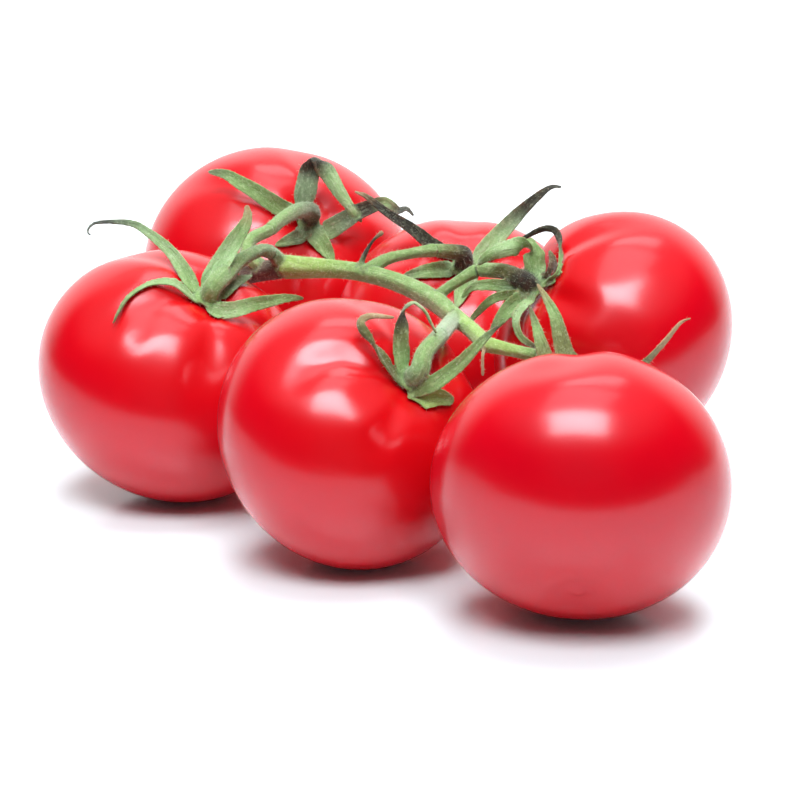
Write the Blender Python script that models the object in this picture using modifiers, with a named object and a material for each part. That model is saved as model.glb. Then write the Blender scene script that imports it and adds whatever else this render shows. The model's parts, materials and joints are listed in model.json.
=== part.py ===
"""A truss of six ripe tomatoes, picked with its stem and lying on a surface.

The truss lies in two rows of three fruits. X is to the right, Y away from the front and Z up,
and the fruits stand on Z = 0. Each fruit is one object, and so is each calyx with its sepals
and its piece of stalk, which breaks off at the joint in the stalk. The stem is the rest.
"""

from collections import namedtuple
from math import atan2, cos, exp, inf, pi, radians, sin, sqrt

import bmesh
import bpy
from mathutils import Matrix, Vector

MM = 0.001
GAP = 0.35  # mm kept between neighbours that touch in a real truss

# The stem and the sepals are laid out as seen from the front by someone looking down at this
# angle: their points are (across, up, toward the viewer), in mm.
VIEW_DOWN = 16.2

# Fruits. x and y are the centre's place, width is measured across the girth and height along
# the stem axis. lift is the gap under a fruit that the stem holds off the surface. The stem
# end points along turn (from X towards Y) and tilt (above level). Each groove of the shoulder
# starts at the angle groove and repeats round the axis.
Fruit = namedtuple("Fruit", "x y width height lift turn tilt grooves groove")
FRUITS = {
    "front_left": Fruit(-52, 2.5, 67.6, 57, 0, 314, 58, 5, 205),
    "front_middle": Fruit(-7, -48, 65, 55.4, 0, 314, 41, 5, 250),
    "front_right": Fruit(43.5, -90, 65.8, 56.2, 0, 86, 40, 5, 120),
    "back_left": Fruit(-28.5, 85.5, 75, 61.4, 0, 294, 45, 6, 210),
    "back_middle": Fruit(20, 38, 66.8, 57.2, 0, 270, 58, 5, 160),
    "back_right": Fruit(55.2, -13.5, 61.6, 53.8, 14.6, 200, 34, 5, 20),
}
FLAT = 0.4         # mm pressed off where a fruit stands on the surface
DIMPLE = 4.0       # mm that the stem end is sunk
DIMPLE_REACH = 0.26  # of the fruit's radius
GROOVE = 1.3       # mm that a shoulder groove is sunk
GROOVE_AT = radians(36)  # from the stem end
GROOVE_REACH = radians(26)
NOSE = 1.0         # mm that the blossom end is sunk
NOSE_REACH = 0.16
AROUND = 28        # mesh divisions of a fruit
ALONG = 16

# Calyx: a small disc in the dimple with the sepals growing out of it.
DISC = 3.4         # mm, radius
DISC_HALF = 0.7    # mm, half its thickness
DISC_RISE = 1.6    # mm, its middle above the bottom of the dimple
BLADE = 0.8        # mm, thickness of a sepal
BLADE_STEPS = 11
TIP = 0.12         # width of a sepal's tip, as a part of its full width
FOLD = 0.35        # how far the edges rise, as a part of the half width
RUFFLE = 0.16      # how far they wave
TWIST_FROM = 0.3   # part of a sepal's length where its twist starts
TWIST_TO = 0.6
ROOT_OUT = 0.35    # where a sepal starts on the way to its first point
ROOT_STEP = 0.06   # mm that each sepal starts above the one before
BEND_ROOM = 0.7    # half width of a blade at most, as a part of its radius where it bends

# Sepals of each calyx: full width in mm, how fast it narrows, roll of the blade away from
# facing the viewer and how much it twists further on, both in degrees, and the way of the
# midrib, from the middle of the disc.
Sepal = namedtuple("Sepal", "width taper roll twist way")
SEPALS = {
    "front_left": (
        Sepal(4.4, 1.2, 0, 0, (
            (-2, 0, 0), (-6.5, 7.5, -3), (-10.5, 12.5, -6), (-15.5, 16.5, -8), (-19, 18.5, -9),
            (-24, 19, -9), (-28.5, 18.5, -8), (-30, 16.5, -7), (-29, 15.5, -6))),
        Sepal(3.0, 0.8, 50, 0, (
            (-2.5, -1, 1), (-6, 2, 3), (-8.5, 3.5, 4), (-12.5, 3.5, 4), (-16, 2, 3),
            (-19, -0.5, 2), (-21, -4, 1), (-22, -6.5, 0))),
        Sepal(5.6, 0.6, 0, 0, (
            (-0.5, 2, -1), (2.5, 8, -3), (6, 14, -5), (9, 19, -6), (9, 23, -7))),
        Sepal(4.6, 0.7, 0, 0, (
            (1, -2.5, 2), (5.5, -3, 3), (11.5, -1.5, 2), (19, 0, 0), (23, 0, -2))),
        Sepal(4.4, 0.8, 0, 0, (
            (3, 1.5, -3), (6, 4, -7), (10, 6, -12))),
    ),
    "back_left": (
        Sepal(5.2, 0.6, 0, 0, (
            (-2, 2, 1), (-6, 2.7, 2), (-10, 5, 3), (-14, 7.7, 3), (-18, 10, 3),
            (-22, 12.3, 1), (-26.5, 13, 0))),
        Sepal(6.4, 0.7, 0, 180, (
            (-1.5, 3, 1), (-0.7, 7.5, 1), (0.2, 12, 0), (1.2, 15.8, 1), (2.6, 16.2, 2.5),
            (5, 13, 3), (8.2, 7.7, 4), (11.7, 2.7, 4), (14.3, -0.5, 3))),
        Sepal(6.0, 0.9, 0, 0, (
            (4, -3, 1), (9.8, 0, 3), (13.8, 2.4, 3), (17, 3.7, 2), (20, 4.8, 2),
            (22, 4, 2), (24, 2.6, 1), (26, 3.2, 1), (28, 1.3, 1))),
        Sepal(5.0, 0.7, 0, 0, (
            (-2, -4, 3), (-5, -5.5, 4), (-8.5, -7, 4))),
        Sepal(6.0, 0.7, 0, 0, (
            (2.5, -4.5, 3), (5, -8, 4), (7, -11.5, 4))),
    ),
    "back_middle": (
        Sepal(4.0, 0.7, 20, 0, (
            (-2, 2.5, -3), (-8.5, 6, -2), (-13, 9.5, -1), (-18.5, 13, 0), (-23, 16.5, 0),
            (-25, 18, 0), (-27.5, 19, 0))),
        Sepal(5.6, 0.9, 0, 0, (
            (3, 1, 0), (7.5, 6.5, -2), (12.5, 12, -3), (16, 15.5, -4), (20, 19, -5),
            (22.5, 20.5, -5), (25, 20.5, -5))),
        Sepal(5.0, 0.7, 0, 0, (
            (-3, -0.5, 0), (-8.5, -1, 1), (-13, -2, 1), (-16, -3, 1))),
        Sepal(6.0, 0.7, 0, 0, (
            (1, -2.5, 2), (-0.5, -6, 4), (-2, -10.5, 6))),
        Sepal(4.6, 0.8, 0, 0, (
            (2, 1.2, -4.4), (3, 1.8, -10), (4, 1, -16))),
    ),
    "back_right": (
        Sepal(5.6, 0.6, 0, 180, (
            (0, 1.6, 1), (0, 4, 1), (-0.3, 6.8, 1), (-0.5, 9.2, 1), (-2.4, 9.9, 2),
            (-6, 9.5, 3), (-9.1, 8.5, 4), (-12, 7.1, 4), (-13.7, 5.4, 4))),
        Sepal(2.8, 0.6, 0, 0, (
            (1.4, 1.4, 0.5), (3, 2.6, 1), (3.9, 4.6, 0), (4, 7, -1), (3.4, 9, -2))),
        Sepal(2.2, 0.4, 50, 90, (
            (2.2, 0.8, 3), (4.6, 2.6, 4.5), (5.6, 5.3, 4), (5.8, 8.5, 3), (5.4, 12.1, 1),
            (4.3, 13.8, 0), (2.3, 14.1, -1), (0, 13.3, -2), (-3.2, 11.6, -2),
            (-5.8, 10.5, -2))),
        Sepal(3.6, 0.6, 0, 0, (
            (-3, 0, 1), (-7, 0.4, 1), (-10.8, 0.8, 0), (-15, 0.3, -2), (-17.4, -2.2, -3))),
        Sepal(2.6, 0.5, 0, 0, (
            (-2.5, -1.2, 2), (-6, -1.7, 3), (-8.6, -2, 3), (-11.3, -3.4, 2),
            (-13.7, -5.8, 1), (-16.1, -8.4, 0))),
        Sepal(5.0, 0.7, 0, 0, (
            (-2.6, -2.3, 2.5), (-5.5, -4.2, 3.5), (-7.7, -6.4, 4), (-9.4, -8.7, 4),
            (-10.8, -10.6, 4))),
        Sepal(2.4, 0.4, 30, 0, (
            (-0.6, -2.6, 2.6), (-2.7, -4.2, 4.4), (-4.3, -6.2, 5), (-4.6, -8.7, 6),
            (-3.6, -11.6, 7), (-1.2, -13.5, 9), (0.4, -14.2, 10))),
    ),
    "front_right": (
        Sepal(4.6, 0.8, 0, 0, (
            (-2.5, 2.5, 0), (-6, 4.5, -2), (-8, 6.5, -5), (-10, 14, -11), (-11.5, 19, -14))),
        Sepal(5.0, 0.8, 0, 0, (
            (-1, 3, -1), (-2.5, 5.5, -3), (-4, 8.5, -7), (-5.5, 16, -13), (-7.5, 20.5, -16),
            (-9.5, 24, -18))),
        Sepal(2.6, 0.7, 30, 0, (
            (4, 0.5, -2), (9.5, 3, -5), (14.5, 6, -10), (19.5, 11, -14), (23, 15, -15),
            (25.5, 16, -15))),
        Sepal(4.6, 0.8, 180, 0, (
            (2, -2, -4), (5, -5.5, -10), (8, -8, -17), (10, -9, -22))),
        Sepal(4.2, 0.8, 180, 0, (
            (-2, -2.5, -4), (-6, -7, -9), (-9, -12, -13), (-11, -15, -16))),
    ),
    "front_middle": (
        Sepal(3.0, 0.5, 50, 90, (
            (-2, -1, 1), (-5, 3, 3), (-8.5, 8, 4), (-11, 11.5, 4), (-11, 13.5, 3),
            (-8.5, 14.5, 2), (-3.5, 14, 0))),
        Sepal(4.4, 0.9, 0, 90, (
            (-1.5, 1.5, 1), (-2, 8, 1), (-2, 14, 0), (-1, 16.5, -1), (1, 17.5, -3),
            (3.5, 15.5, -4), (5, 12.5, -4), (6, 10.5, -3))),
        Sepal(4.2, 0.7, 0, 0, (
            (0.5, -2.5, 1), (5, -1, 3), (10.5, 3, 4), (15, 7.5, 4), (17.5, 10, 3),
            (20, 12, 2))),
        Sepal(5.2, 0.5, 0, 0, (
            (2.5, -4, -2), (6.5, -4, -3), (10, -5, -3))),
    ),
}

# Stem: the main stalk, its cut end and a dry strand, then the start of each fruit's stalk up
# to the joint. A point is (across, up, toward, radius), in mm.
MAIN = (
    ((-25.5, 56.5, -4, 3.1), (-12, 55.5, 4, 2.3), (-3.5, 54, 10, 2.2), (5, 51, 18, 2.3),
     (12, 47, 28, 2.5), (17, 42.5, 39, 2.2), (20.5, 39.5, 48, 1.9), (24, 35.5, 58, 2.1)),
    ((-25, 56, -3, 2.6), (-30.5, 55.5, -9, 2.5), (-36, 54.5, -16, 2.2)),
    ((23.5, 35, 58, 0.6), (23, 33, 60, 0.4), (23, 28.5, 60, 0.4)),
    ((-6, 55.5, 9, 0.8), (-4.6, 59, 9, 0.6), (-2.6, 62.3, 9, 0.4), (-0.2, 64.4, 9, 0.7)),
)
NEAR_STALKS = {
    "front_left": ((-24.5, 56, -5, 2.2), (-28, 59.5, 0, 1.9)),
    "back_left": ((-30, 56, -8, 1.9), (-34.5, 59.5, -11, 1.8), (-34, 63.5, -15, 1.7),
                  (-29.5, 66.5, -21, 1.8)),
    "back_middle": ((-5, 54, 10, 2.0), (0.5, 57.6, 9, 1.5), (6.5, 59.2, 6, 1.3),
                    (12.5, 60.2, 1, 1.8)),
    "back_right": ((11.5, 46.5, 28, 1.8), (15, 49.6, 28.5, 1.3), (19, 52.2, 29, 1.4),
                   (22.5, 53.9, 29, 1.8)),
    "front_middle": ((17, 42.5, 39, 1.9), (15, 40, 52, 1.9), (13, 37.5, 64, 2.1)),
    "front_right": ((23.5, 36, 57, 1.9), (29.5, 34.5, 61, 1.5), (35.5, 33, 66, 1.6)),
}
# The rest of each stalk, from the joint to the calyx's disc.
FAR_STALKS = {
    "front_left": ((-31, 60, 4, 1.6), (-35.5, 57, 12, 1.9), (-39, 53, 19, 2.4)),
    "back_left": ((-25.5, 70.5, -31, 1.8), (-21.5, 73, -41, 2.1)),
    "back_middle": ((18, 60, -4, 2.0),),
    "back_right": ((25.8, 54, 31.5, 1.8), (29, 53.5, 35, 1.9)),
    "front_middle": ((9.5, 33.5, 73, 2.0),),
    "front_right": ((40.5, 31, 72, 1.8),),
}
STALK_END = 2.3    # mm, radius at the disc
STALK_RISE = 4.0   # mm above the disc where a stalk has turned onto the fruit's axis
KNOT = 1.2         # mm that a stalk runs straight on each side of its joint
STALK_STEPS = 3    # divisions between two points

COLOURS = {
    "flesh": ((0.62, 0.01, 0.012), 0.22),
    "calyx": ((0.10, 0.17, 0.055), 0.7),
    "stem": ((0.13, 0.22, 0.06), 0.6),
}


def material(name):
    colour, roughness = COLOURS[name]
    made = bpy.data.materials.new(name)
    made.use_nodes = True
    shader = made.node_tree.nodes["Principled BSDF"]
    shader.inputs["Base Color"].default_value = (*colour, 1)
    shader.inputs["Roughness"].default_value = roughness
    shader.inputs["Metallic"].default_value = 0
    return made


def from_view(across, up, toward):
    """The place in the truss of a point laid out in the view from the front."""
    down = radians(VIEW_DOWN)
    return Vector((across, up * sin(down) - toward * cos(down), up * cos(down) + toward * sin(down)))


def stem_axis(fruit):
    turn, tilt = radians(fruit.turn), radians(fruit.tilt)
    return Vector((cos(tilt) * cos(turn), cos(tilt) * sin(turn), sin(tilt)))


def place(fruit):
    """Matrix from a fruit's own axes, stem end up, to the truss, in mm."""
    axis = stem_axis(fruit)
    right = (Vector((1, 0, 0)) - axis * axis.x).normalized()
    back = axis.cross(right)
    a, c = fruit.width / 2, fruit.height / 2
    rise = sqrt(a * a * (1 - axis.z ** 2) + c * c * axis.z ** 2) - FLAT + fruit.lift
    turned = Matrix((right, back, axis)).transposed().to_4x4()
    return Matrix.Translation((fruit.x, fruit.y, rise)) @ turned


def dimple(fruit, out):
    """How far the skin is sunk round the stem, at a distance from the axis."""
    return DIMPLE * exp(-(out / (fruit.width / 2 * DIMPLE_REACH)) ** 2)


def skin(fruit, polar, around):
    """A point of the skin, by its angle from the stem end and its angle round the axis."""
    a, c = fruit.width / 2, fruit.height / 2
    band = exp(-((polar - GROOVE_AT) / GROOVE_REACH) ** 2) * min(1, polar / GROOVE_REACH)
    wave = 0.5 + 0.5 * cos(fruit.grooves * (around - radians(fruit.groove)))
    keep = 1 - GROOVE / a * band * wave ** 3
    out = a * sin(polar) * keep
    high = c * cos(polar) * keep
    if high > 0:
        high -= dimple(fruit, out)
    else:
        high += NOSE * exp(-(out / (a * NOSE_REACH)) ** 2)
    return Vector((out * cos(around), out * sin(around), high))


def new_object(name, mesh, collection, finish):
    made = bpy.data.objects.new(name, mesh)
    mesh.materials.append(finish)
    collection.objects.link(made)
    return made


def tomato(name, fruit, collection, finish):
    """A ball shaped to the fruit's skin, with a small flat where it stands."""
    shape = bmesh.new()
    bmesh.ops.create_uvsphere(shape, u_segments=AROUND, v_segments=ALONG, radius=1)
    to_truss = Matrix.Scale(MM, 4) @ place(fruit)
    for vert in shape.verts:
        polar = atan2(sqrt(vert.co.x ** 2 + vert.co.y ** 2), vert.co.z)
        vert.co = to_truss @ skin(fruit, polar, atan2(vert.co.y, vert.co.x))
    if fruit.lift == 0:
        everything = shape.verts[:] + shape.edges[:] + shape.faces[:]
        bmesh.ops.bisect_plane(shape, geom=everything, dist=1e-6, plane_co=(0, 0, 0),
                               plane_no=(0, 0, -1), clear_outer=True)
        bmesh.ops.holes_fill(shape, edges=[edge for edge in shape.edges if edge.is_boundary])
    bmesh.ops.recalc_face_normals(shape, faces=shape.faces)
    mesh = bpy.data.meshes.new(name)
    shape.to_mesh(mesh)
    shape.free()
    mesh.shade_smooth()
    return new_object(name, mesh, collection, finish)


def calyx_middle(fruit):
    """The middle of the calyx's disc, in mm."""
    return place(fruit) @ Vector((0, 0, fruit.height / 2 - DIMPLE + DISC_RISE))


def buried(point, need):
    """Whether a point is closer than need to the skin of a fruit, or inside one."""
    for fruit in FRUITS.values():
        near = place(fruit).inverted() @ point
        a, c = fruit.width / 2, fruit.height / 2
        out = sqrt(near.x ** 2 + near.y ** 2)
        high = near.z + dimple(fruit, out) if near.z > 0 else near.z
        if sqrt((out / a) ** 2 + (high / c) ** 2) < 1 + need / c:
            return True
    return False


def clear(point, need, way):
    """The point, moved along a way until it is clear of every fruit."""
    moved = point.copy()
    for _ in range(200):
        if not buried(moved, need):
            break
        moved += way * 0.1
    return moved


def smooth_way(points, steps):
    """Points at even distances along a smooth curve through the given ones."""
    ends = [2 * points[0] - points[1], *points, 2 * points[-1] - points[-2]]
    fine = []
    for before, start, end, after in zip(ends, ends[1:], ends[2:], ends[3:]):
        for step in range(12):
            t = step / 12
            fine.append(0.5 * (2 * start + (end - before) * t
                               + (2 * before - 5 * start + 4 * end - after) * t ** 2
                               + (3 * start - before - 3 * end + after) * t ** 3))
    fine.append(points[-1])
    reach = [0.0]
    for start, end in zip(fine, fine[1:]):
        reach.append(reach[-1] + (end - start).length)
    even = []
    for step in range(steps + 1):
        want = reach[-1] * step / steps
        spot = next(i for i in range(1, len(reach)) if reach[i] >= want - 1e-9)
        part = (want - reach[spot - 1]) / (reach[spot] - reach[spot - 1])
        even.append(fine[spot - 1].lerp(fine[spot], part))
    return even


def half_width(sepal, along):
    """Half the blade's width at a part of its length: narrow root, wide low down, thin tip."""
    root = min(1, 0.45 + along / 0.3)
    point = TIP + (1 - TIP) * (1 - along) ** sepal.taper * (1 + 0.5 * along)
    return sepal.width / 2 * root * min(1, point)


def ease(part):
    part = min(1, max(0, part))
    return part * part * (3 - 2 * part)


def sideways_room(before, spot, after, side):
    """The half width that a blade can have where it bends sideways without crossing itself."""
    if before == spot or after == spot:
        return inf
    turn = (after - spot).normalized() - (spot - before).normalized()
    bend = abs(turn.dot(side)) / ((after - before).length / 2)
    return BEND_ROOM / bend if bend > 0 else inf


def blade(sepal, number, fruit):
    """One sepal as an open, folded and waved surface that Solidify gives its thickness."""
    need = GAP + BLADE / 2
    middle = calyx_middle(fruit)
    to_viewer = from_view(0, 0, 1)
    axis = stem_axis(fruit)
    away = to_viewer if axis.dot(to_viewer) > 0 else axis
    root = middle + from_view(*sepal.way[0]) * ROOT_OUT + axis * ROOT_STEP * number
    points = [root] + [middle + from_view(*spot) for spot in sepal.way]
    line = [clear(spot, need, away) for spot in smooth_way(points, BLADE_STEPS)]
    shape = bmesh.new()
    rows = []
    for step, spot in enumerate(line):
        along = step / BLADE_STEPS
        before, after = line[max(step - 1, 0)], line[min(step + 1, BLADE_STEPS)]
        ahead = (after - before).normalized()
        face = axis.lerp(to_viewer, ease(along * 4))
        face = (face - ahead * face.dot(ahead)).normalized()
        twist = sepal.twist * ease((along - TWIST_FROM) / (TWIST_TO - TWIST_FROM))
        roll = radians(sepal.roll * ease(along * 4) + twist)
        up = Matrix.Rotation(roll, 3, ahead) @ face
        side = up.cross(ahead)
        half = min(half_width(sepal, along), sideways_room(before, spot, after, side))
        fold = FOLD * ease(along * 3)
        row = []
        for across in (-1, 0, 1):
            wave = across * RUFFLE * sin(along * 4 * pi) + fold * abs(across)
            out = spot + side * half * across + up * half * wave
            row.append(shape.verts.new(clear(out, need, away) * MM))
        rows.append(row)
    for low, high in zip(rows, rows[1:]):
        for left in (0, 1):
            shape.faces.new((low[left], low[left + 1], high[left + 1], high[left]))
    bmesh.ops.triangulate(shape, faces=shape.faces)
    mesh = bpy.data.meshes.new("sepal")
    shape.to_mesh(mesh)
    shape.free()
    made = bpy.data.objects.new("sepal", mesh)
    thick = made.modifiers.new("thickness", "SOLIDIFY")
    thick.thickness = BLADE * MM
    thick.offset = 0
    return made


def union(body, pieces, solver="EXACT"):
    """Join the pieces of a collection to a body and remove them."""
    join = body.modifiers.new("joined", "BOOLEAN")
    join.operation = "UNION"
    join.operand_type = "COLLECTION"
    join.collection = pieces
    join.solver = solver
    depsgraph = bpy.context.evaluated_depsgraph_get()
    joined = bpy.data.meshes.new_from_object(body.evaluated_get(depsgraph))
    body.modifiers.clear()
    body.data = joined
    for piece in list(pieces.objects):
        bpy.data.objects.remove(piece)
    bpy.data.collections.remove(pieces)
    joined.shade_smooth()
    joined.set_sharp_from_angle(angle=radians(40))


def piece_collection(name):
    made = bpy.data.collections.new(name)
    bpy.context.scene.collection.children.link(made)
    return made


def tube(name, points, collection, finish):
    """A round stalk through points with radii, as a closed mesh."""
    curve = bpy.data.curves.new(name + "_line", "CURVE")
    curve.dimensions = "3D"
    curve.bevel_depth = MM
    curve.bevel_resolution = 2
    curve.use_fill_caps = True
    spline = curve.splines.new("BEZIER")
    spline.bezier_points.add(len(points) - 1)
    spline.resolution_u = STALK_STEPS
    for knot, (spot, radius) in zip(spline.bezier_points, points):
        knot.co = spot * MM
        knot.radius = radius
        knot.handle_left_type = "AUTO"
        knot.handle_right_type = "AUTO"
    guide = bpy.data.objects.new(name + "_line", curve)
    collection.objects.link(guide)
    depsgraph = bpy.context.evaluated_depsgraph_get()
    mesh = bpy.data.meshes.new_from_object(guide.evaluated_get(depsgraph))
    shape = bmesh.new()
    shape.from_mesh(mesh)
    bmesh.ops.remove_doubles(shape, verts=shape.verts, dist=1e-6)
    bmesh.ops.recalc_face_normals(shape, faces=shape.faces)
    shape.to_mesh(mesh)
    shape.free()
    made = new_object(name, mesh, collection, finish)
    made.matrix_world = guide.matrix_world
    bpy.data.objects.remove(guide)
    return made


def stalk_route(points):
    return [(from_view(*spot[:3]), spot[3]) for spot in points]


def stalk_joint(name):
    """The place, direction and radius of the joint in a fruit's stalk."""
    before, joint = stalk_route(NEAR_STALKS[name])[-2:]
    after = stalk_route(FAR_STALKS[name])[0]
    return joint[0], (after[0] - before[0]).normalized(), joint[1]


def near_stalk(name):
    """The start of a fruit's stalk, ending just short of the joint."""
    joint, ahead, radius = stalk_joint(name)
    ends = [(joint - ahead * KNOT, radius * 0.9), (joint - ahead * GAP / 2, radius)]
    return stalk_route(NEAR_STALKS[name])[:-1] + ends


def far_stalk(name, fruit):
    """The rest of a fruit's stalk, from just past the joint into the calyx's disc."""
    joint, ahead, radius = stalk_joint(name)
    middle = calyx_middle(fruit)
    start = [(joint + ahead * GAP / 2, radius), (joint + ahead * KNOT, radius * 0.95)]
    rise = middle + stem_axis(fruit) * STALK_RISE
    return start + stalk_route(FAR_STALKS[name]) + [(rise, STALK_END), (middle, STALK_END)]


def calyx(name, collection, finish):
    """The disc with its sepals and its piece of stalk joined to it."""
    fruit = FRUITS[name]
    shape = bmesh.new()
    bmesh.ops.create_uvsphere(shape, u_segments=14, v_segments=8, radius=1)
    flat = Matrix.Diagonal((DISC, DISC, DISC_HALF, 1))
    middle = Matrix.Translation(Vector((0, 0, fruit.height / 2 - DIMPLE + DISC_RISE)))
    bmesh.ops.transform(shape, matrix=Matrix.Scale(MM, 4) @ place(fruit) @ middle @ flat,
                        verts=shape.verts)
    mesh = bpy.data.meshes.new("calyx_" + name)
    shape.to_mesh(mesh)
    shape.free()
    body = new_object("calyx_" + name, mesh, collection, finish)
    pieces = piece_collection("calyx_pieces")
    tube("calyx_stalk", far_stalk(name, fruit), pieces, finish)
    for number, sepal in enumerate(SEPALS[name]):
        pieces.objects.link(blade(sepal, number, fruit))
    union(body, pieces, "MANIFOLD")


def stem(collection, finish):
    """The main stalk, its cut end and dry strand, and the start of each fruit's stalk."""
    body = tube("stem", stalk_route(MAIN[0]), collection, finish)
    pieces = piece_collection("stem_pieces")
    for points in MAIN[1:]:
        tube("stem_piece", stalk_route(points), pieces, finish)
    for name in FRUITS:
        tube("stem_piece", near_stalk(name), pieces, finish)
    union(body, pieces)


def main():
    for old in list(bpy.data.objects):
        bpy.data.objects.remove(old)
    parts = piece_collection("tomato_truss")
    flesh = material("flesh")
    green = material("calyx")
    bark = material("stem")
    for name, fruit in FRUITS.items():
        tomato("tomato_" + name, fruit, parts, flesh)
        calyx(name, parts, green)
    stem(parts, bark)


main()
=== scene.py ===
"""Looks of the truss of tomatoes: finer skins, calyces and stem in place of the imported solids.

The lists of fruits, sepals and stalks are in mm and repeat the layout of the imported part. X is to
the right, Y away from the front and Z up. Each skin, each calyx and the stem replaces one node
and keeps its form, and the hairs are added to the green ones.
"""

import json
from collections import namedtuple
from math import cos, exp, inf, pi, radians, sin, sqrt

import bmesh
import bpy
import numpy as np
from bpy.props import FloatProperty, FloatVectorProperty, PointerProperty
from bpy.types import Operator, Panel, PropertyGroup
from mathutils import Matrix, Vector
from mathutils.kdtree import KDTree

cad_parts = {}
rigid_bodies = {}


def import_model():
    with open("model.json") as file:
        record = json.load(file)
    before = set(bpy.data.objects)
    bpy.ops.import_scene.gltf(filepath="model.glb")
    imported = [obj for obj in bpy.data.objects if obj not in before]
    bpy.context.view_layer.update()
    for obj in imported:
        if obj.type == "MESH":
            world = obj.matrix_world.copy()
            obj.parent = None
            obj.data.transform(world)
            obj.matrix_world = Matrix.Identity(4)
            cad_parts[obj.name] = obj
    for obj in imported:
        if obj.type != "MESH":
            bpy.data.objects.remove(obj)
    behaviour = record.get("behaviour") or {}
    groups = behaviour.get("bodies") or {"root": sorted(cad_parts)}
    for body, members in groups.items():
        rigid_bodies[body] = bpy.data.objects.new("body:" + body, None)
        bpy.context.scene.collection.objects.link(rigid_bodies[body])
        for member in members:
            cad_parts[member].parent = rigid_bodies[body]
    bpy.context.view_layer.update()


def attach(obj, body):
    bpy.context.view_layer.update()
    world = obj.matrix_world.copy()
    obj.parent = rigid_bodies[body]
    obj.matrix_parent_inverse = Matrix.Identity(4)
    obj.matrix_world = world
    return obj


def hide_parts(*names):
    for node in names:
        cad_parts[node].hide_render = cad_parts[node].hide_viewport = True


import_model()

bl_info = {
    "name": "Tomato truss",
    "version": (1, 0, 0),
    "blender": (4, 5, 0),
    "location": "View3D > Sidebar > Tomato truss",
    "description": "Builds the skins, calyces, stem and hairs of a truss of tomatoes",
    "category": "Add Mesh",
}

MM = 0.001

# The stem and the sepals are laid out as seen from the front by someone looking down at this
# angle: their points are (across, up, toward the viewer), in mm.
VIEW_DOWN = 16.2
CAMERA = (4, -735, 237.5)  # mm
SENSOR = 36  # mm
LENS = 139.5  # mm

# Fruits, as in the part: place of the centre, width, height along the stem axis, lift off the
# surface, turn and tilt of the stem end, and the grooves of the shoulder.
Fruit = namedtuple("Fruit", "x y width height lift turn tilt grooves groove")
FRUITS = {
    "front_left": Fruit(-52, 2.5, 67.6, 57, 0, 314, 58, 5, 205),
    "front_middle": Fruit(-7, -48, 65, 55.4, 0, 314, 41, 5, 250),
    "front_right": Fruit(43.5, -90, 65.8, 56.2, 0, 86, 40, 5, 120),
    "back_left": Fruit(-28.5, 85.5, 75, 61.4, 0, 294, 45, 6, 210),
    "back_middle": Fruit(20, 38, 66.8, 57.2, 0, 270, 58, 5, 160),
    "back_right": Fruit(55.2, -13.5, 61.6, 53.8, 14.6, 200, 34, 5, 20),
}
FLAT = 0.4  # mm pressed off where a fruit stands on the surface
DIMPLE = 4.0  # mm that the stem end is sunk
DIMPLE_REACH = 0.26  # of the fruit's radius
GROOVE_AT = radians(36)  # from the stem end
GROOVE_REACH = radians(26)
NOSE = 2.0  # mm that the blossom end is sunk
NOSE_REACH = 0.18  # of the fruit's radius
NUB = 1.2  # mm, the dried end of the flower in the middle of the nose
NUB_REACH = 1.9  # mm
AROUND = 112  # faces of a skin round its axis
ALONG = 72  # faces of a skin from end to end

# Swells and creases of each fruit's skin: angle from the stem end, angle round it, how far the
# form reaches along and across, all in degrees, and its height in mm.
SWELLS = {
    "front_left": ((22, 214, 9, 10, -0.6), (31, 218, 8, 7, -0.8), (40, 226, 7, 5, -0.7),
                   (36, 226, 15, 15, 0.6), (36, 190, 14, 12, 0.4)),
    "front_middle": ((32, 168, 8, 8, -0.8), (41, 181, 8, 7, -1.0), (51, 191, 9, 7, -0.7),
                     (22, 178, 11, 22, -1.2), (44, 222, 16, 13, 0.5), (44, 160, 18, 12, 0.3),
                     (36, 250, 14, 10, 0.9), (50, 250, 11, 9, 0.6)),
    "front_right": ((63, 252, 15, 20, -1.3), (60, 330, 20, 16, 0.7), (40, 285, 18, 14, 0.3)),
    "back_left": ((39, 140, 14, 14, 0.4),),
    "back_middle": ((25, 115, 14, 14, 0.5), (36, 285, 12, 8, -0.5)),
    "back_right": ((46, 307, 17, 16, 1.4), (70, 330, 14, 14, -0.4), (46, 70, 18, 14, 0.4)),
}

# Calyx: a disc in the dimple with the sepals growing out of it.
DISC = 3.4  # mm, radius
DISC_HALF = 0.8  # mm, half its thickness
DISC_RISE = 1.6  # mm from the bottom of the dimple to the disc's middle
ROOT_OUT = 0.35  # where a midrib starts, as a part of the way to its first point
TIP = 0.1  # of a blade's width that is left at its tip
FOLD = 0.35  # that the edges rise, as a part of half the width
RUFFLE = 0.16  # the edges' waves, as a part of half the width
TWIST_FROM = 0.3  # of the length
TWIST_TO = 0.6
BEND_ROOM = 0.9  # half width of a blade at most, as a part of its radius where it bends
BLADE = 0.62  # mm, thickness along the midrib
BLADE_EDGE = 0.34  # mm, thickness at the edges
BLADE_ACROSS = 8  # faces across a blade
BLADE_STEPS = 44  # faces along a blade
CLEAR = 0.15  # mm of air under a blade
CLEAR_STEP = 0.1  # mm

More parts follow.
